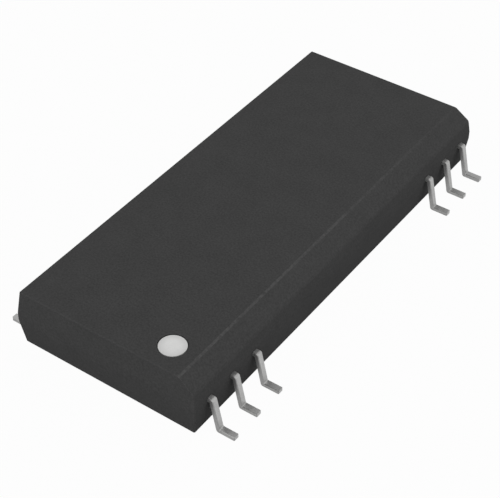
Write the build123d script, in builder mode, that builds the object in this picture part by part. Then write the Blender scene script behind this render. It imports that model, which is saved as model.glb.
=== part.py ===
from build123d import *
import os
from math import cos, radians, sin, tan

# Isolated dc-dc converter in a wide small-outline package, in millimetres.
# The origin is at the middle of the package on the plane of the circuit board.
# +Z points up, +Y runs along the package away from pin 1, and +X is the side of pin 1.

# Driving dimensions of the outline
lead_pitch = 1.27
places_per_row = 14
lead_span = 9.75
body_width = 7.61
body_length = 18.15
body_bottom = 0.12
body_top = 2.46
land_bottom = 1.18
land_top = 1.50
draft_angle = 7.0

# The sheet that every lead, paddle and pad is stamped from
sheet = 0.15
sheet_top = 1.38
sheet_bottom = sheet_top - sheet
stamped_edge = 0.025

# Moulded body
chamfer_across = 0.57
chamfer_down = 0.47
chamfer_break = 0.06
corner_break = 0.03
rim_break = 0.02
ejector_mark_radius = 0.75
ejector_mark_depth = 0.03
ejector_mark_row = 5.6

# Pin-one mark, a shallow round dimple with a film of pale ink on its floor
mark_radius = 0.53
mark_place = (2.10, -7.94)
mark_depth = 0.05
film_radius = 0.49
film_thickness = 0.03

# Formed outer leads
lead_width = 0.25
foot_length = 0.60
leg_lean = 12.0
outer_bend_radius = 0.10
inner_bend_radius = 0.03
stub_start = 3.20

# Flat pattern of the lead frame inside the body, for the near end
finger_width = 0.50
finger_end = 3.45
signal_finger_start = 0.50
paddle_width = 3.00
paddle_length = 2.40
paddle_row = 6.55
bar_width = 0.50
bar_row = 4.85
bar_reach = 2.40
pad_size = (1.95, 0.70)
pad_place = (1.925, 4.00)

# Tongue that steps down from the bar to carry the transformer
tongue_width = 1.20
tongue_top = 0.60
tongue_step_start = 4.05
tongue_step_end = 3.45
tongue_end = 1.75
tongue_bend = 0.12
seat_size = (2.00, 1.45)

# Polyimide tape that holds the free pads to the other fingers
tape_thickness = 0.06
tape_size = (0.60, 4.80)
tape_place = (2.05, 6.15)

# Chips and the paste under them
attach_thickness = 0.03
control_die_size = (2.00, 1.70, 0.25)
control_die_row = 6.60
diode_size = (0.90, 1.10, 0.20)
diode_place = (0.65, 6.60)
bond_wire = 0.05
bond_rise = 0.16
bond_landing = 0.12
crest_share = 0.3

# Ferrite ring and its windings of enamelled wire
core_inner_radius = 1.50
core_outer_radius = 2.80
core_height = 1.20
core_edge = 0.12
glue_thickness = 0.05
glue_size = (1.80, 0.90)
glue_row = 2.30
magnet_wire = 0.10
exit_radius = 3.20
winding_gap = 15.0
centre_tap_gap = 2.0
primary_turns = 20
secondary_turns = 10
pocket_clearance = 0.02

# Heights that follow from the stack on the tongues, and the height of a wire's centre,
# in diameters, when the wire lies on one of its six flats
winding_bottom = tongue_top + glue_thickness
core_bottom = winding_bottom + magnet_wire
core_top = core_bottom + core_height
winding_top = core_top + magnet_wire
flat_height = cos(radians(30)) / 2
wire_on_sheet = sheet_top + magnet_wire * flat_height

NEAR = -1
FAR = 1
RIGHT = 1
LEFT = -1


def save(part, name):
    part.label = name
    export_step(part, f"parts/{name}.step")


def lead_row(pin):
    """Place of a pin along the body, counted up the right side and back down the left."""
    place = pin if pin <= places_per_row else 2 * places_per_row + 1 - pin
    return (place - (places_per_row + 1) / 2) * lead_pitch


def lead_side(pin):
    return RIGHT if pin <= places_per_row else LEFT


def outer_lead(pin):
    """One gull-wing lead, bent from the sheet: stub, leaning leg and flat foot."""
    side = lead_side(pin)
    toe = lead_span / 2
    heel = toe - foot_length
    shoulder = heel - (sheet_top - sheet) * tan(radians(leg_lean))
    # At both bends the lower face turns this much sooner than the upper one
    lead_in = sheet * tan(radians(90 - leg_lean) / 2)
    across = Plane(origin=(0, lead_row(pin), 0), x_dir=(side, 0, 0), z_dir=(0, -side, 0))
    with BuildPart() as lead:
        with BuildSketch(across):
            with BuildLine():
                upper_face = FilletPolyline(
                    (stub_start, sheet_top),
                    (shoulder, sheet_top),
                    (heel, sheet),
                    (toe, sheet),
                    radius=[outer_bend_radius, inner_bend_radius],
                )
                lower_face = FilletPolyline(
                    (stub_start, sheet_bottom),
                    (shoulder - lead_in, sheet_bottom),
                    (heel - lead_in, 0),
                    (toe, 0),
                    radius=[inner_bend_radius, outer_bend_radius],
                )
                Line(upper_face @ 0, lower_face @ 0)
                Line(upper_face @ 1, lower_face @ 1)
            make_face()
        extrude(amount=lead_width / 2, both=True)
        # The punch rolls the edges over on the face that it enters, which looks up and outwards
        flanks = lead.faces().filter_by(Axis.Y)
        punched = lead.faces().filter_by(lambda face: side * face.normal_at().X + face.normal_at().Z > 0.5)
        chamfer(flanks.edges() & punched.edges(), length=stamped_edge)
    return lead.part


def finger(pin, inner_end):
    """Flat finger inside the body, from near the body's side to inner_end."""
    side = lead_side(pin)
    with BuildPart() as strip:
        with BuildSketch(Plane.XY.offset(sheet_bottom)):
            with Locations((side * (finger_end + inner_end) / 2, lead_row(pin))):
                Rectangle(finger_end - inner_end, finger_width)
        extrude(amount=sheet)
    return strip.part


def paddle_frame(end, right_pin, left_pin):
    """A paddle for chips, stamped in one piece with the lead on each side of it."""
    with BuildPart() as frame:
        with BuildSketch(Plane.XY.offset(sheet_bottom)):
            with Locations((0, end * paddle_row)):
                Rectangle(paddle_width, paddle_length)
        extrude(amount=sheet)
        for pin in (right_pin, left_pin):
            add(finger(pin, paddle_width / 2))
            add(outer_lead(pin))
    return frame.part


def cradle_frame(end, right_pin, left_pin):
    """A cross bar with a lead at each end and a tongue stepped down under the ring."""
    arm_length = abs(lead_row(right_pin)) + finger_width / 2 - bar_row + bar_width / 2
    arm_row = bar_row - bar_width / 2 + arm_length / 2
    along = Plane(origin=(0, 0, 0), x_dir=(0, end, 0), z_dir=(end, 0, 0))
    with BuildPart() as frame:
        with BuildSketch(Plane.XY.offset(sheet_bottom)):
            with Locations((0, end * bar_row)):
                Rectangle(2 * bar_reach, bar_width)
            with Locations(
                (bar_reach - bar_width / 2, end * arm_row),
                (bar_width / 2 - bar_reach, end * arm_row),
            ):
                Rectangle(bar_width, arm_length)
        extrude(amount=sheet)
        with BuildSketch(along):
            with BuildLine():
                FilletPolyline(
                    (bar_row, sheet_top),
                    (tongue_step_start, sheet_top),
                    (tongue_step_end, tongue_top),
                    (tongue_end, tongue_top),
                    radius=tongue_bend,
                )
                offset(amount=sheet, side=Side.LEFT)
            make_face()
        extrude(amount=tongue_width / 2, both=True)
        with BuildSketch(Plane.XY.offset(tongue_top - sheet)):
            with Locations((0, end * (tongue_end + seat_size[1] / 2))):
                Rectangle(*seat_size)
        extrude(amount=sheet)
        for pin in (right_pin, left_pin):
            add(finger(pin, bar_reach - bar_width))
            add(outer_lead(pin))
    return frame.part


def single_lead(pin):
    """A lead that carries one signal, or none, on a finger of its own."""
    with BuildPart() as lead:
        add(finger(pin, signal_finger_start))
        add(outer_lead(pin))
    return lead.part


def slab(size, place, low, thickness):
    """A flat rectangular piece, such as a free pad, tape, die or film of paste."""
    with BuildPart() as piece:
        with BuildSketch(Plane.XY.offset(low)):
            with Locations(place):
                Rectangle(size[0], size[1])
        extrude(amount=thickness)
    return piece.part


def wire_along(points, diameter, level):
    """A thin wire with six flats, mitred where it bends; level is a direction across its start."""
    with BuildPart() as wire:
        with BuildLine():
            Polyline(*points)
        with BuildSketch(Plane(origin=points[0], x_dir=level, z_dir=points[1] - points[0])):
            RegularPolygon(radius=diameter / 2, side_count=6)
        sweep(transition=Transition.RIGHT)
    return wire.part


def bonded_wire(start, end, die_top):
    """A bond wire: up from the chip, over, and down to lie flat on the sheet."""
    foot_on_die = Vector(start[0], start[1], die_top)
    bend = foot_on_die + Vector(0, 0, bond_rise)
    landing = Vector(end[0], end[1], sheet_top + bond_wire * flat_height)
    run = Vector(end[0] - start[0], end[1] - start[1], 0)
    touch_down = landing - run.normalized() * bond_landing
    crest = bend + run * crest_share
    return wire_along([foot_on_die, bend, crest, touch_down, landing], bond_wire, run.rotate(Axis.Z, 90))


def around(radius, angle, height):
    return Vector(radius * cos(radians(angle)), radius * sin(radians(angle)), height)


def wire_exit(angle, pad):
    """The end of a winding, laid flat from its pad to the ring's side."""
    start = Vector(pad[0], pad[1], wire_on_sheet)
    turn_in = around(exit_radius, angle, wire_on_sheet)
    meet = around(core_outer_radius + magnet_wire / 2, angle, wire_on_sheet)
    return wire_along([start, turn_in, meet], magnet_wire, (turn_in - start).rotate(Axis.Z, 90))


def winding(first, last, turns, first_pad, last_pad):
    """A winding wound turn by turn round the ring's section, between two angles."""
    inner = core_inner_radius - magnet_wire / 2
    outer = core_outer_radius + magnet_wire / 2
    low = core_bottom - magnet_wire / 2
    high = core_top + magnet_wire / 2
    step = (last - first) / turns
    route = [around(outer, first, wire_on_sheet + magnet_wire / 2)]
    for turn in range(turns):
        angle = first + turn * step
        route.append(around(outer, angle, low))
        route.append(around(inner, angle + step / 2, low))
        route.append(around(inner, angle + step / 2, high))
        route.append(around(outer, angle + step, high))
    route.append(around(outer, last, wire_on_sheet - magnet_wire / 2))
    with BuildPart() as coil:
        add(wire_along(route, magnet_wire, around(1, first, 0)))
        add(wire_exit(first, first_pad))
        add(wire_exit(last, last_pad))
    return coil.part


def standing_edges(half):
    """The edges at the four corners of a half body, which lean only by the draft."""
    return half.edges().filter_by(lambda edge: abs(edge.tangent_at(0.5).Z) > cos(radians(2 * draft_angle)))


os.makedirs("parts", exist_ok=True)

# Pieces of the lead frame, with the same pattern at both ends of the body
pieces = {
    "input_ground_frame": paddle_frame(NEAR, 2, 27),
    "input_supply_frame": cradle_frame(NEAR, 3, 26),
    "sync_lead": single_lead(1),
    "enable_lead": single_lead(28),
    "output_positive_frame": paddle_frame(FAR, 13, 16),
    "output_common_frame": cradle_frame(FAR, 12, 17),
    "spare_lead_14": single_lead(14),
    "spare_lead_15": single_lead(15),
}

# Free pads and the tape under them, one of each in every quarter
quarters = {
    "near_right": (RIGHT, NEAR),
    "near_left": (LEFT, NEAR),
    "far_right": (RIGHT, FAR),
    "far_left": (LEFT, FAR),
}
for quarter, (side, end) in quarters.items():
    place = (side * pad_place[0], end * pad_place[1])
    pieces[f"{quarter}_pad"] = slab(pad_size, place, sheet_bottom, sheet)
    place = (side * tape_place[0], end * tape_place[1])
    pieces[f"{quarter}_tape"] = slab(tape_size, place, sheet_bottom - tape_thickness, tape_thickness)

# Control chip on the near paddle and a rectifier diode on each half of the far one
die_bottom = sheet_top + attach_thickness
place = (0, -control_die_row)
pieces["control_die_attach"] = slab(control_die_size, place, sheet_top, attach_thickness)
pieces["control_die"] = slab(control_die_size, place, die_bottom, control_die_size[2])
for name, side in {"right": RIGHT, "left": LEFT}.items():
    place = (side * diode_place[0], diode_place[1])
    pieces[f"{name}_diode_attach"] = slab(diode_size, place, sheet_top, attach_thickness)
    pieces[f"{name}_diode"] = slab(diode_size, place, die_bottom, diode_size[2])

# Bond wires, each from a place on the chip to a place on the sheet
control_top = die_bottom + control_die_size[2]
diode_top = die_bottom + diode_size[2]
for name, side in {"right": RIGHT, "left": LEFT}.items():
    signal = "sync" if side == RIGHT else "enable"
    runs = {
        f"{signal}_bond_wire": ((0.50, -7.25), (0.90, -8.20), control_top),
        f"{name}_ground_bond_wire": ((0.85, -6.90), (1.35, -6.90), control_top),
        f"{name}_supply_bond_wire": ((0.15, -5.95), (0.15, -4.85), control_top),
        f"{name}_drive_bond_wire": ((0.65, -5.95), (1.35, -4.05), control_top),
        f"{name}_anode_bond_wire": ((0.65, 6.35), (1.35, 4.05), diode_top),
    }
    for wire, (start, end, top) in runs.items():
        pieces[wire] = bonded_wire((side * start[0], start[1]), (side * end[0], end[1]), top)

# Ferrite ring glued on the two tongues
with BuildPart() as transformer_core:
    with BuildSketch(Plane.XY.offset(core_bottom)):
        Circle(core_outer_radius)
        Circle(core_inner_radius, mode=Mode.SUBTRACT)
    extrude(amount=core_height)
    chamfer(transformer_core.edges().filter_by(GeomType.CIRCLE), length=core_edge)
for name, end in {"near": NEAR, "far": FAR}.items():
    pieces[f"{name}_core_glue"] = slab(glue_size, (0, end * glue_row), tongue_top, glue_thickness)

# Primary on the near half of the ring, and the two halves of the secondary on the far half
near_pad = (2.40, -4.00)
far_pad = (2.40, 4.00)
tap_pad = (0.30, 4.35)
start = 360 - winding_gap
finish = 180 + winding_gap
windings = {
    "primary_winding": (start, finish, primary_turns, near_pad, (-near_pad[0], near_pad[1])),
    "right_secondary_winding": (
        winding_gap, 90 - centre_tap_gap, secondary_turns, far_pad, tap_pad,
    ),
    "left_secondary_winding": (
        180 - winding_gap, 90 + centre_tap_gap, secondary_turns,
        (-far_pad[0], far_pad[1]), (-tap_pad[0], tap_pad[1]),
    ),
}

# Room that the wound ring leaves in the compound, with the ends of its wires
with BuildPart() as ring_pocket:
    with BuildSketch(Plane.XY.offset(winding_bottom)):
        Circle(core_outer_radius + magnet_wire + pocket_clearance)
        Circle(core_inner_radius - magnet_wire - pocket_clearance, mode=Mode.SUBTRACT)
    extrude(amount=winding_top + pocket_clearance - winding_bottom)
    for first, last, turns, first_pad, last_pad in windings.values():
        add(wire_exit(first, first_pad))
        add(wire_exit(last, last_pad))

# Body of moulding compound: two drafted halves, and between them a short upright land
with BuildPart() as upper_half:
    with BuildSketch(Plane.XY.offset(land_top)):
        Rectangle(body_width, body_length)
    extrude(amount=body_top - land_top)
    sides = upper_half.faces().filter_by(Axis.Z, reverse=True)
    draft(sides, Plane.XY.offset(land_top), draft_angle)
    lid = upper_half.faces().sort_by(Axis.Z)[-1]
    pin_one_edge = lid.edges().filter_by(Axis.Y).sort_by(Axis.X)[-1]
    chamfer(pin_one_edge, length=chamfer_across, length2=chamfer_down, reference=lid)
    sloping_face = upper_half.faces().filter_by(lambda face: 0.5 < face.normal_at().Z < 0.9)
    chamfer(sloping_face.edges().filter_by(Axis.Y), length=chamfer_break)
    chamfer(standing_edges(upper_half), length=corner_break)
    chamfer(upper_half.faces().sort_by(Axis.Z)[-1].edges(), length=rim_break)
with BuildPart() as lower_half:
    with BuildSketch(Plane.XY.offset(body_bottom)):
        Rectangle(body_width, body_length)
    extrude(amount=land_bottom - body_bottom)
    sides = lower_half.faces().filter_by(Axis.Z, reverse=True)
    draft(sides, Plane.XY.offset(land_bottom), -draft_angle)
    chamfer(standing_edges(lower_half), length=corner_break)
    chamfer(lower_half.faces().sort_by(Axis.Z)[0].edges(), length=rim_break)
    extrude(lower_half.faces().sort_by(Axis.Z)[-1], amount=land_top - land_bottom)
with BuildPart() as moulded_body:
    add(upper_half)
    add(lower_half)
    with BuildSketch(Plane.XY.offset(body_top)):
        with Locations(mark_place):
            Circle(mark_radius)
    extrude(amount=-mark_depth, mode=Mode.SUBTRACT)
    with BuildSketch(Plane.XY.offset(body_bottom)):
        with Locations((0, -ejector_mark_row), (0, ejector_mark_row)):
            Circle(ejector_mark_radius)
    extrude(amount=ejector_mark_depth, mode=Mode.SUBTRACT)
    add([ring_pocket.part, *pieces.values()], mode=Mode.SUBTRACT)

with BuildPart() as pin_one_mark:
    with BuildSketch(Plane.XY.offset(body_top - mark_depth)):
        with Locations(mark_place):
            Circle(film_radius)
    extrude(amount=film_thickness)

for name, route in windings.items():
    save(winding(*route), name)
for name, piece in pieces.items():
    save(piece, name)
save(transformer_core.part, "transformer_core")
save(moulded_body.part, "moulded_body")
save(pin_one_mark.part, "pin_one_mark")
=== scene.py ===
# %% [markdown]
# # A moulded dc-dc converter
#
# The object is an isolated dc-dc converter in a wide small-outline package, 18 mm long. Its
# shape comes complete from the CAD model: the moulded body, the pale mark of pin 1, the bent
# leads and everything that is sealed inside. What is left for Blender is the look. A part this
# small is seen through a macro lens, so the finishes have to hold at a few hundredths of a
# millimetre: the grain of the moulding compound, the matt tin on the leads, the ink of the mark.
#
# Each step below has a note, then a short cell of code that prints what it made.

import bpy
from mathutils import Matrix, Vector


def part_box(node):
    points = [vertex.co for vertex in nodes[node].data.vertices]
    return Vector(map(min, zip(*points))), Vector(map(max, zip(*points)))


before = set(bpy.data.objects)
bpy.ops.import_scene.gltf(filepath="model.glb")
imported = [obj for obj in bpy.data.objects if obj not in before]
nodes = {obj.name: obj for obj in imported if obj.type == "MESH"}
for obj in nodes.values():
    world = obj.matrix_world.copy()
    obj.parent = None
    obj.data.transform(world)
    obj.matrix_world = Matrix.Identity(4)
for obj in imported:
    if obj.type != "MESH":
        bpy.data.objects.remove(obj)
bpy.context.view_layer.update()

# %% [markdown]
# ## Units and greys
#
# Blender works in metres and the part in millimetres, so every small size below is written as a
# number times mm. Greys are easier to judge as they look on a screen, from 0 to 255, but
# Blender's sockets hold linear light, so one helper turns a screen grey into a linear colour.

# %% Helpers for units and colours
import bpy
from mathutils import Vector

mm = 0.001


def linear(level):
    """Linear light of a channel that looks like this level, from 0 to 255, on a screen."""
    share = level / 255
    return share / 12.92 if share <= 0.04045 else ((share + 0.055) / 1.055) ** 2.4


def tone(red, green=None, blue=None):
    """A colour from screen levels; one level alone is a grey."""
    if green is None:
        green = blue = red
    return (linear(red), linear(green), linear(blue), 1.0)


print("a middle grey on screen is", round(linear(128), 3), "in linear light")

# %% [markdown]
# ## The camera
#
# The photograph looks down on the near right corner from about 41 degrees above the board, with
# a long lens. Lines along the body still converge a little, so it is a real perspective and not
# an orthographic view. The lens, the distance and the point looked at were fitted to the corners
# of the body and the ends of the leads. Turning the camera by a direction vector needs no angles
# and no constraint that could be left behind.

# %% Camera at the photograph's viewing angle
scene = bpy.context.scene
camera_data = bpy.data.cameras.new("product_camera")
camera_data.lens = 102.73
camera_data.sensor_width = 36.0
camera_data.clip_start = 1 * mm
camera_data.clip_end = 100.0
camera = bpy.data.objects.new("product_camera", camera_data)
scene.collection.objects.link(camera)
scene.camera = camera

looked_at = Vector((-0.20, -0.37, 0.0)) * mm
towards_camera = Vector((0.4340, -0.6100, 0.6630))
camera_distance = 53.66 * mm
camera.location = looked_at + towards_camera * camera_distance
camera.rotation_mode = "QUATERNION"
camera.rotation_quaternion = (-towards_camera).to_track_quat("-Z", "Y")
print("camera at", tuple(round(c / mm, 2) for c in camera.location), "mm")

# %% [markdown]
# ## Node helpers
#
# A procedural material is a small graph. Every node in it needs the same few lines: make it, set
# its options, then join or set each input. The first two helpers do just that, from a dictionary
# of inputs by name or number: a socket is joined, and anything else is a plain value. The others
# stand for the nodes that come up most, so that a finish below reads like a recipe.

# %% Helpers that place nodes
def fill(tree, node, inputs):
    """Joins the inputs that are given a socket, and sets the others to their plain values."""
    for name, value in inputs.items():
        socket = node.inputs[name]
        if isinstance(value, bpy.types.NodeSocket):
            tree.links.new(value, socket)
        else:
            socket.default_value = value


def place(tree, kind, inputs=None, **options):
    """Adds a node with its options and fills its inputs."""
    node = tree.nodes.new(kind)
    for name, option in options.items():
        setattr(node, name, option)
    fill(tree, node, inputs or {})
    return node


def maths(tree, operation, *values, clamp=False):
    """The result of one Math node, with its values in the order of the node's inputs."""
    node = place(tree, "ShaderNodeMath", dict(enumerate(values)), operation=operation, use_clamp=clamp)
    return node.outputs[0]


def ramp(tree, value, before, after, interpolation="LINEAR"):
    """The value carried from the range before into the range after, and held at both ends."""
    limits = {"From Min": before[0], "From Max": before[1], "To Min": after[0], "To Max": after[1]}
    node = place(tree, "ShaderNodeMapRange", {"Value": value, **limits}, interpolation_type=interpolation)
    return node.outputs["Result"]


def mix_colours(tree, share, first, second):
    """The colour between two colours, by a share from 0 to 1."""
    inputs = {0: share, 6: first, 7: second}
    return place(tree, "ShaderNodeMix", inputs, data_type="RGBA").outputs[2]


def object_place(tree):
    """Where a point lies in its object's own coordinates, which stick to the part."""
    return place(tree, "ShaderNodeTexCoord").outputs["Object"]


print("node helpers ready")

# %% [markdown]
# ## Groups and materials
#
# Effects that several finishes share become node groups. A group is built once, and each finish
# places it with values of its own, so the same speckle can be silica, tin or ferrite. What has to
# stay in the material itself is the Principled shader and every value that is the same all over
# the surface.

# %% Helpers that start and use groups and materials
def start_group(name, inputs, output, output_type):
    """An empty group with one output, its inputs given as (name, type, starting value)."""
    group = bpy.data.node_groups.new(name, "ShaderNodeTree")
    for input_name, input_type, value in inputs:
        socket = group.interface.new_socket(input_name, in_out="INPUT", socket_type=input_type)
        socket.default_value = value
    group.interface.new_socket(output, in_out="OUTPUT", socket_type=output_type)
    return group, group.nodes.new("NodeGroupInput").outputs, group.nodes.new("NodeGroupOutput")


def use_group(tree, group, **values):
    """The one output of a group; spaces in the names of its inputs are written as underscores."""
    inputs = {name.replace("_", " "): value for name, value in values.items()}
    return place(tree, "ShaderNodeGroup", inputs, node_tree=group).outputs[0]


def start_finish(name):
    """A new material with a Principled shader ready for its inputs."""
    material = bpy.data.materials.new(name)
    material.use_nodes = True
    shader = material.node_tree.nodes["Principled BSDF"]
    return material, material.node_tree, shader


finishes = {}
slots_to_dress = {slot.material.name for node in nodes.values() for slot in node.material_slots}
print(len(slots_to_dress), "finishes to make:", ", ".join(sorted(slots_to_dress)))

# %% [markdown]
# ## Group: speckle
#
# Nearly every surface here is a mixture of something fine in something else: silica in epoxy,
# crystals of tin, grains of ferrite, silver in paste. Under a macro lens that reads as a speckle
# a few hundredths of a millimetre across. A painted texture would need unwrapped meshes and would
# blur this close, so the group lays a fine noise over a broad one instead. Both are read from the
# object's own coordinates, so the speckle sticks to the part from any side.

# %% Node group for a fine speckle over a broad mottle
fine_detail = 3.0
broad_detail = 4.0
middle_grey = 0.5


def make_speckle():
    group, given, result = start_group(
        "speckle",
        [
            ("Fine Size", "NodeSocketFloat", 0.05 * mm),
            ("Broad Size", "NodeSocketFloat", 0.6 * mm),
            ("Broad Share", "NodeSocketFloat", 0.4),
            ("Contrast", "NodeSocketFloat", 1.0),
        ],
        "Mask",
        "NodeSocketFloat",
    )
    where = object_place(group)
    layers = []
    for size, detail in (("Fine Size", fine_detail), ("Broad Size", broad_detail)):
        per_metre = maths(group, "DIVIDE", 1.0, given[size])
        noise = place(group, "ShaderNodeTexNoise", {"Vector": where, "Scale": per_metre, "Detail": detail})
        layers.append(noise.outputs["Fac"])
    fine, broad = layers
    both = place(group, "ShaderNodeMix", {0: given["Broad Share"], 2: fine, 3: broad}).outputs[0]
    centred = maths(group, "SUBTRACT", both, middle_grey)
    spread = maths(group, "MULTIPLY_ADD", centred, given["Contrast"], middle_grey, clamp=True)
    fill(group, result, {"Mask": spread})
    return group


speckle = make_speckle()
print(speckle.name, [item.name for item in speckle.interface.items_tree])

# %% [markdown]
# ## Group: fine relief
#
# The mould's cavity is spark eroded, so the body is covered in tiny pits; plated tin and sawn
# silicon have a relief of their own, only finer. Pits of a few thousandths of a millimetre would
# need far too many faces, so the group turns a noise into a surface normal. Its height is a real
# distance, and the relief keeps its depth whatever size the grain has.
#
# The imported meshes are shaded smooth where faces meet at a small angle. That suits the bends of
# the leads, but the two halves of the body meet in a crisp line at just such an angle. With Flat
# at 1 the relief starts from the true normal of each face instead, and the line stays crisp.

# %% Node group for a surface normal with a fine relief
pit_detail = 2.0


def make_relief():
    group, given, result = start_group(
        "fine_relief",
        [
            ("Grain Size", "NodeSocketFloat", 0.04 * mm),
            ("Depth", "NodeSocketFloat", 0.002 * mm),
            ("Strength", "NodeSocketFloat", 1.0),
            ("Flat", "NodeSocketFloat", 0.0),
        ],
        "Normal",
        "NodeSocketVector",
    )
    per_metre = maths(group, "DIVIDE", 1.0, given["Grain Size"])
    noise = {"Vector": object_place(group), "Scale": per_metre, "Detail": pit_detail}
    pits = place(group, "ShaderNodeTexNoise", noise).outputs["Fac"]
    surface = place(group, "ShaderNodeNewGeometry").outputs
    normals = {0: given["Flat"], 4: surface["Normal"], 5: surface["True Normal"]}
    before = place(group, "ShaderNodeMix", normals, data_type="VECTOR").outputs[1]
    bump = place(group, "ShaderNodeBump", {
        "Height": pits,
        "Distance": given["Depth"],
        "Strength": given["Strength"],
        "Normal": before,
    })
    fill(group, result, {"Normal": bump.outputs["Normal"]})
    return group


relief = make_relief()
print(relief.name, [item.name for item in relief.interface.items_tree])

# %% [markdown]
# ## Group: edge wear and highlight
#
# Edges look different from the faces beside them. On the body they are painted paler, a painted
# highlight for the light that a rounded edge catches; on the ferrite ring the tumbling has rubbed
# them, on a sawn chip they are chipped. Pointiness could find them, but it reads the vertices,
# and these meshes have few. The Bevel node gives the normal that a rounded edge would have. Where
# it differs from the face's own normal there is an edge, and the difference becomes a mask that
# fades over the given width.

# %% Node group for a mask along the edges
bevel_samples = 8


def make_edge_wear_and_highlight():
    group, given, result = start_group(
        "edge_wear_and_highlight",
        [("Width", "NodeSocketFloat", 0.05 * mm), ("Gain", "NodeSocketFloat", 4.0)],
        "Mask",
        "NodeSocketFloat",
    )
    rounded = place(group, "ShaderNodeBevel", {"Radius": given["Width"]}, samples=bevel_samples)
    face = place(group, "ShaderNodeNewGeometry")
    both = {0: rounded.outputs["Normal"], 1: face.outputs["Normal"]}
    likeness = place(group, "ShaderNodeVectorMath", both, operation="DOT_PRODUCT").outputs["Value"]
    difference = maths(group, "SUBTRACT", 1.0, likeness)
    fill(group, result, {"Mask": maths(group, "MULTIPLY", difference, given["Gain"], clamp=True)})
    return group


edge_wear_and_highlight = make_edge_wear_and_highlight()
print(edge_wear_and_highlight.name, [item.name for item in edge_wear_and_highlight.interface.items_tree])

# %% [markdown]
# ## Group: narrow facet
#
# Some edges are facets of their own in the CAD model: the break along the top of the slope, and
# the edges that the punch rolled over on each lead. A bevel says nothing about them, because a
# facet lies the same way as the rounding that it stands for. What sets them apart is which way
# they face, so this group compares one component of the object's own normal with a middle value.
# It picks out the cut sides of the leads as well. The finishes use it for a painted highlight on
# the slope's break and for painted shade on the sides of the leads.

# %% Node group for a mask on the facets that face a given way
def make_narrow_facet():
    group, given, result = start_group(
        "narrow_facet",
        [
            ("Axis", "NodeSocketVector", (1.0, 0.0, 0.0)),
            ("Middle", "NodeSocketFloat", 0.7),
            ("Reach", "NodeSocketFloat", 0.2),
        ],
        "Mask",
        "NodeSocketFloat",
    )
    facing = place(group, "ShaderNodeTexCoord").outputs["Normal"]
    both = {0: facing, 1: given["Axis"]}
    along = place(group, "ShaderNodeVectorMath", both, operation="DOT_PRODUCT").outputs["Value"]
    either_way = maths(group, "ABSOLUTE", along)
    fill(group, result, {"Mask": maths(group, "COMPARE", either_way, given["Middle"], given["Reach"])})
    return group


narrow_facet = make_narrow_facet()
print(narrow_facet.name, [item.name for item in narrow_facet.interface.items_tree])

# %% [markdown]
# ## Moulding compound
#
# The body is epoxy filled with silica and blackened with carbon. It comes out of the mould a
# dark neutral grey, quite matt, with a grain from the spark-eroded cavity. The grey is almost the
# same on every face, so it is written into the base colour and the gloss is kept very low: a
# glossier black would mirror the light tent and the floor and turn pale where it is seen at a
# slant, most of all on the lower half of the sides.
#
# Two painted highlights lie over the grain, where rounded edges would catch the light. Every rim
# is painted a trace paler, and the crest of the break along the top of the slope has a paler
# painted line, less than a tenth of a millimetre wide. The line is uneven, clearest at the end
# with pin 1 and hardly there at the far end.

# %% Mask of the painted highlight along the top of the slope
x_axis = (1.0, 0.0, 0.0)
body_half_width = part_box("moulded_body")[1].x
crest_x = body_half_width - 0.7 * mm
crest_half_width = 0.045 * mm
highlight_fades_over = (-2 * mm, 9 * mm)
highlight_at_ends = (0.58, 0.04)


def mask_painted_crest_highlight(tree):
    """How strong the painted highlight on the slope's top edge is, for the moulding compound."""
    slope_break = use_group(tree, narrow_facet, Axis=x_axis, Middle=0.3, Reach=0.16)
    axes = place(tree, "ShaderNodeSeparateXYZ", {"Vector": object_place(tree)}).outputs
    crest = maths(tree, "COMPARE", axes["X"], crest_x, crest_half_width)
    line = maths(tree, "MULTIPLY", slope_break, crest)
    # The painted highlight is strongest at the end with pin 1 and fades towards the far end.
    crest_highlight = ramp(tree, axes["Y"], highlight_fades_over, highlight_at_ends)
    unevenness = use_group(
        tree, speckle, Fine_Size=0.1 * mm, Broad_Size=0.7 * mm, Broad_Share=0.35, Contrast=3.4
    )
    return maths(tree, "MULTIPLY", line, maths(tree, "MULTIPLY", unevenness, crest_highlight))


print("crest of the slope at x =", round(crest_x / mm, 2), "mm")


# %% Finish of the moulded body
def finish_moulding_compound():
    material, tree, shader = start_finish("moulding_compound_finish")
    grain = use_group(
        tree, speckle, Fine_Size=0.07 * mm, Broad_Size=0.9 * mm, Broad_Share=0.22, Contrast=2.1
    )
    skin = mix_colours(tree, grain, tone(57), tone(71))
    # Painted highlight: every rim is painted a trace paler, for the light that a rounded edge catches.
    edge = use_group(tree, edge_wear_and_highlight, Width=0.05 * mm, Gain=16.0)
    edge_highlight_share = 0.15
    skin = mix_colours(tree, maths(tree, "MULTIPLY", edge, edge_highlight_share), skin, tone(88))
    # Painted highlight: a paler line on the crest of the slope's top edge.
    skin = mix_colours(tree, mask_painted_crest_highlight(tree), skin, tone(92))
    pits = use_group(tree, relief, Grain_Size=0.06 * mm, Depth=0.004 * mm, Strength=0.35, Flat=1.0)
    fill(tree, shader, {
        "Base Color": skin,
        "Roughness": ramp(tree, grain, (0.0, 1.0), (0.62, 0.72)),
        "Specular IOR Level": 0.015,
        "Normal": pits,
    })
    return material


finishes["moulding_compound"] = finish_moulding_compound()
print(finishes["moulding_compound"].name)

# %% [markdown]
# ## Ink of the pin 1 mark
#
# The mark is a film of pale grey ink at the bottom of a shallow dimple. It is opaque and nearly
# even, and it takes some of the grain below it. Towards the rim it is painted a little darker, a
# painted shade for the wall of the dimple. The film is too thin for the mask along the edges,
# which would only see its top. The distance from the middle of the mark does as well, because
# the film is round.

# %% Finish of the ink
mark_low, mark_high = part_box("pin_one_mark")
mark_middle = (mark_low + mark_high) / 2
mark_radius = (mark_high.x - mark_low.x) / 2
rim_shade_from = 0.4


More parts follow.
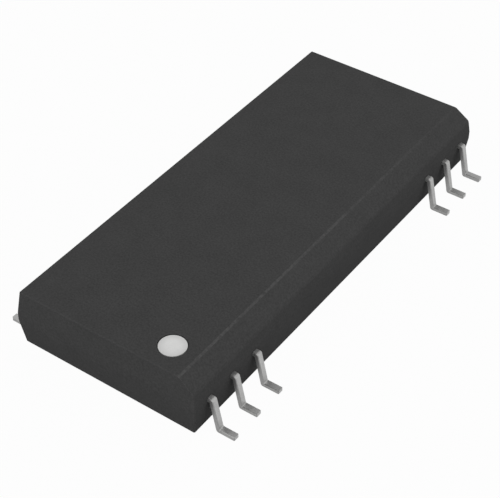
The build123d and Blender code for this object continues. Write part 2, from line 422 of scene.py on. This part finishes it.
def finish_mark_ink():
    material, tree, shader = start_finish("mark_ink_finish")
    grain = use_group(
        tree, speckle, Fine_Size=0.05 * mm, Broad_Size=0.5 * mm, Broad_Share=0.6, Contrast=2.0
    )
    ink = mix_colours(tree, grain, tone(206, 206, 205), tone(222, 222, 221))
    ends = {0: object_place(tree), 1: mark_middle}
    outwards = place(tree, "ShaderNodeVectorMath", ends, operation="DISTANCE").outputs["Value"]
    # Painted shade: the ink darkens towards the wall of the dimple.
    rim_shade_over = (mark_radius * rim_shade_from, mark_radius)
    painted_rim_shade = ramp(tree, outwards, rim_shade_over, (0.0, 1.0), "SMOOTHSTEP")
    fill(tree, shader, {
        "Base Color": mix_colours(tree, painted_rim_shade, ink, tone(200, 200, 199)),
        "Roughness": 0.6,
        "Normal": use_group(tree, relief, Grain_Size=0.06 * mm, Depth=0.002 * mm, Strength=0.3),
    })
    return material


finishes["mark_ink"] = finish_mark_ink()
print(finishes["mark_ink"].name, "for a mark", round(mark_radius * 2 / mm, 2), "mm across")

# %% [markdown]
# ## Lead frame, bare inside and tinned outside
#
# The frame is stamped from copper alloy, and only what stands outside the moulding is plated
# with matt tin afterwards. Two materials would need each mesh cut where it leaves the body. One
# finish serves both instead: the distance from the middle of the body tells copper from tin.
#
# Matt tin is a metal with a dull, slightly uneven reflection. It is painted a little darker on the
# sides that the punch cut, and most of all on the edges that it rolled over: painted shade, for
# the darker surroundings that these sides mirror.

# %% Finish of the lead frame
y_axis = (0.0, 1.0, 0.0)
rolled_edge, cut_side = (0.7, 0.6), (1.0, 0.36)
plating_starts = (body_half_width - 0.07 * mm, body_half_width - 0.04 * mm)


def tin_plating(tree, grain):
    """Tin with painted shade on the facets given as (which way they face, how much darker)."""
    tin = mix_colours(tree, grain, tone(186, 186, 185), tone(230, 230, 229))
    # Painted shade: the facets that face along the row of leads are painted darker.
    for facing, darker in (rolled_edge, cut_side):
        facet = use_group(tree, narrow_facet, Axis=y_axis, Middle=facing, Reach=0.15)
        tin = mix_colours(tree, maths(tree, "MULTIPLY", facet, darker), tin, tone(132, 132, 131))
    return tin


def finish_plated_lead_frame():
    material, tree, shader = start_finish("plated_lead_frame_finish")
    grain = use_group(
        tree, speckle, Fine_Size=0.03 * mm, Broad_Size=0.25 * mm, Broad_Share=0.5, Contrast=1.8
    )
    copper = mix_colours(tree, grain, tone(196, 128, 88), tone(222, 160, 118))
    across = place(tree, "ShaderNodeSeparateXYZ", {"Vector": object_place(tree)}).outputs["X"]
    outside = ramp(tree, maths(tree, "ABSOLUTE", across), plating_starts, (0.0, 1.0))
    fill(tree, shader, {
        "Base Color": mix_colours(tree, outside, copper, tin_plating(tree, grain)),
        "Metallic": 1.0,
        "Roughness": ramp(tree, grain, (0.0, 1.0), (0.36, 0.5)),
        "Normal": use_group(tree, relief, Grain_Size=0.03 * mm, Depth=0.001 * mm, Strength=0.5),
    })
    return material


finishes["plated_lead_frame"] = finish_plated_lead_frame()
print(finishes["plated_lead_frame"].name, "tinned from x =", round(plating_starts[1] / mm, 2), "mm")

# %% [markdown]
# ## Finishes of what is sealed inside
#
# Nothing inside shows in a photograph, but a part that someone cuts open or explodes should
# still look right. These finishes differ only in a few values: two tones for the speckle, its
# size, how metallic and how dull the surface is, the depth of its relief, a clear coat where
# there is one and how much the edges are rubbed. One function makes them all from a short table.

# %% Finishes of the inner pieces
broad_to_fine = 8


def finish_inner(slot, dark, pale, grain_size, metallic, roughness, depth, coat=0.0, rubbed=0.0):
    """A speckled finish; coat is its share of clear varnish, rubbed that of pale edges."""
    material, tree, shader = start_finish(f"{slot}_finish")
    broad_size = grain_size * broad_to_fine
    grain = use_group(
        tree, speckle, Fine_Size=grain_size, Broad_Size=broad_size, Broad_Share=0.4, Contrast=2.0
    )
    colour = mix_colours(tree, grain, dark, pale)
    if rubbed > 0:
        edge = use_group(tree, edge_wear_and_highlight, Width=grain_size, Gain=8.0)
        colour = mix_colours(tree, maths(tree, "MULTIPLY", edge, rubbed), colour, pale)
    fill(tree, shader, {
        "Base Color": colour,
        "Metallic": metallic,
        "Roughness": roughness,
        "Coat Weight": coat,
        "Normal": use_group(tree, relief, Grain_Size=grain_size, Depth=depth, Strength=0.5),
    })
    return material


inner_finishes = [
    dict(slot="silicon", dark=tone(70, 74, 84), pale=tone(96, 101, 114), grain_size=0.02 * mm,
         metallic=0.7, roughness=0.18, depth=0.0002 * mm, rubbed=0.8),
    dict(slot="die_attach_paste", dark=tone(150, 150, 148), pale=tone(190, 190, 187),
         grain_size=0.03 * mm, metallic=0.5, roughness=0.6, depth=0.002 * mm),
    dict(slot="gold_bond_wire", dark=tone(224, 178, 92), pale=tone(246, 208, 124),
         grain_size=0.02 * mm, metallic=1.0, roughness=0.22, depth=0.0003 * mm),
    dict(slot="enamelled_wire", dark=tone(150, 66, 34), pale=tone(186, 92, 48),
         grain_size=0.05 * mm, metallic=0.8, roughness=0.3, depth=0.0005 * mm, coat=0.8),
    dict(slot="ferrite", dark=tone(44, 44, 46), pale=tone(64, 64, 66), grain_size=0.05 * mm,
         metallic=0.0, roughness=0.7, depth=0.004 * mm, rubbed=0.6),
    dict(slot="core_glue", dark=tone(176, 164, 138), pale=tone(206, 196, 172),
         grain_size=0.12 * mm, metallic=0.0, roughness=0.35, depth=0.003 * mm),
    dict(slot="polyimide_tape", dark=tone(170, 96, 24), pale=tone(202, 124, 40),
         grain_size=0.2 * mm, metallic=0.0, roughness=0.2, depth=0.001 * mm, coat=0.5),
]
for values in inner_finishes:
    finishes[values["slot"]] = finish_inner(**values)
print(len(finishes), "finishes:", ", ".join(finishes))

# %% [markdown]
# ## Dressing the nodes
#
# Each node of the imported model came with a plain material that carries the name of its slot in
# the record. Swapping that material for the finish of the same name dresses the whole part,
# inner pieces included, and leaves every mesh as the CAD made it.

# %% Give every node its finish
for node in nodes.values():
    for material_slot in node.material_slots:
        material_slot.material = finishes[material_slot.material.name]
print("dressed", len(nodes), "nodes")

# %% [markdown]
# ## What is white without being a light
#
# The photograph has a white ground with hardly any shadow. More light would not give that, only a
# pale object. So the floor and the world behind it show a plain glow of strength 1 by the kind of
# ray: the camera sees nearly all of it, metal sees a share of it, more of the floor's than of the
# world's, and the light that falls on the part takes nothing from it.

# %% Share of the glow for each kind of ray
def glow_share(tree, seen, mirrored):
    """How much of the glow a ray sees: one share for the camera, one for reflections."""
    rays = place(tree, "ShaderNodeLightPath").outputs
    share = maths(tree, "MULTIPLY", rays["Is Camera Ray"], seen)
    for kind in ("Is Glossy Ray", "Is Transmission Ray"):
        share = maths(tree, "MULTIPLY_ADD", rays[kind], mirrored, share)
    return share


white = tone(255)
floor_in_metal = 0.42
world_in_metal = 0.1
print("metal sees", floor_in_metal, "of the floor's glow and", world_in_metal, "of the world's")

# %% [markdown]
# ## The floor
#
# The floor is a plain grey sheet under its glow. What is not glow is an ordinary matt surface,
# which keeps a faint shadow under the leads and throws little light up at the lower half of the
# body. More than half of what metal sees is that matt part, darker close to the body, and this
# gives the leads their contrast.
#
# From below the sheet is clear. A ray that has come through its back passes its front as well,
# which the transparent depth tells, so the underside is lit and can be looked at.

# %% Material of the white floor
def finish_floor(seen_glow):
    """A matt grey sheet that glows for the camera and lets light through from below."""
    material, tree, matt = start_finish("white_floor")
    sheet_grey = tone(176)
    fill(tree, matt, {"Base Color": sheet_grey, "Roughness": 0.9, "Specular IOR Level": 0.0})
    glow = place(tree, "ShaderNodeEmission", {"Color": white, "Strength": 1.0}).outputs[0]
    share = glow_share(tree, seen_glow, floor_in_metal)
    front = place(tree, "ShaderNodeMixShader", {0: share, 1: matt.outputs[0], 2: glow}).outputs[0]
    clear = place(tree, "ShaderNodeBsdfTransparent").outputs[0]
    behind = place(tree, "ShaderNodeNewGeometry").outputs["Backfacing"]
    passed = place(tree, "ShaderNodeLightPath").outputs["Transparent Depth"]
    from_below = maths(tree, "MAXIMUM", behind, passed)
    whole = place(tree, "ShaderNodeMixShader", {0: from_below, 1: front, 2: clear}).outputs[0]
    fill(tree, tree.nodes["Material Output"], {"Surface": whole})
    return material


floor_finish = finish_floor(seen_glow=0.97)
print(floor_finish.name)


# %% The floor sheet, a hair below the soles of the feet
def make_floor(half_size, gap, material):
    mesh = bpy.data.meshes.new("floor")
    corners = [(-half_size, -half_size, 0), (half_size, -half_size, 0)]
    corners += [(half_size, half_size, 0), (-half_size, half_size, 0)]
    mesh.from_pydata(corners, [], [(0, 1, 2, 3)])
    mesh.materials.append(material)
    floor = bpy.data.objects.new("floor", mesh)
    floor.location.z = -gap
    scene.collection.objects.link(floor)
    return floor


floor = make_floor(half_size=10.0, gap=0.002 * mm, material=floor_finish)
print("floor is", floor.dimensions.x, "m wide")

# %% [markdown]
# ## Light
#
# The part was lit from all round, as in a light tent: top, slope and sides of the body are
# almost the same grey. The world gives that even light, a little stronger at the horizon than
# overhead and stronger at the near end than at the far one. A lead's flat top mirrors the far end
# over the dark body, so it comes out darker than its leg, which mirrors the white floor. The
# camera sees the tent as the same white as the floor.
#
# Two soft boxes add a little direction. The key stands beyond the far right corner and makes the
# soft shadow beside each lead, and a low one in front lifts the end face that the camera sees.
# Metal doesn't mirror them, so the bends of the leads stay free of glints.

# %% World as a light tent
low_to_high, strength_by_height = (0.15, 0.6), (0.97, 0.72)
near_to_far, strength_by_end = (-1.0, 1.0), (1.52, 0.48)
world = bpy.data.worlds.new("light_tent")
scene.world = world
world.use_nodes = True
sky = world.node_tree
direction = place(sky, "ShaderNodeTexCoord").outputs["Generated"]
axes = place(sky, "ShaderNodeSeparateXYZ", {"Vector": direction}).outputs
by_height = ramp(sky, axes["Z"], low_to_high, strength_by_height, "SMOOTHSTEP")
by_end = ramp(sky, axes["Y"], near_to_far, strength_by_end)
tent = maths(sky, "MULTIPLY", by_height, by_end)
shown = mix_colours(sky, glow_share(sky, 1.0, world_in_metal), tent, white)
fill(sky, sky.nodes["Background"], {"Color": shown, "Strength": 1.0})
print("world is", world.name)


# %% Two soft lamps
def add_softbox(name, stands_at, size, watts):
    """A square soft box that faces the converter."""
    data = bpy.data.lights.new(name, "AREA")
    data.shape = "SQUARE"
    data.size = size
    data.energy = watts
    lamp = bpy.data.objects.new(name, data)
    lamp.location = stands_at
    lamp.rotation_mode = "QUATERNION"
    lamp.rotation_quaternion = stands_at.to_track_quat("Z", "Y")
    lamp.visible_glossy = False
    scene.collection.objects.link(lamp)
    return lamp


key = add_softbox("key_softbox", Vector((54, 46, 74)) * mm, size=120 * mm, watts=0.033)
front = add_softbox("front_softbox", Vector((-10, -95, 12)) * mm, size=60 * mm, watts=0.009)
print([lamp.name for lamp in (key, front)])

# %% [markdown]
# ## Last settings
#
# The Standard view transform shows each tone as it was written.

scene.view_settings.view_transform = "Standard"
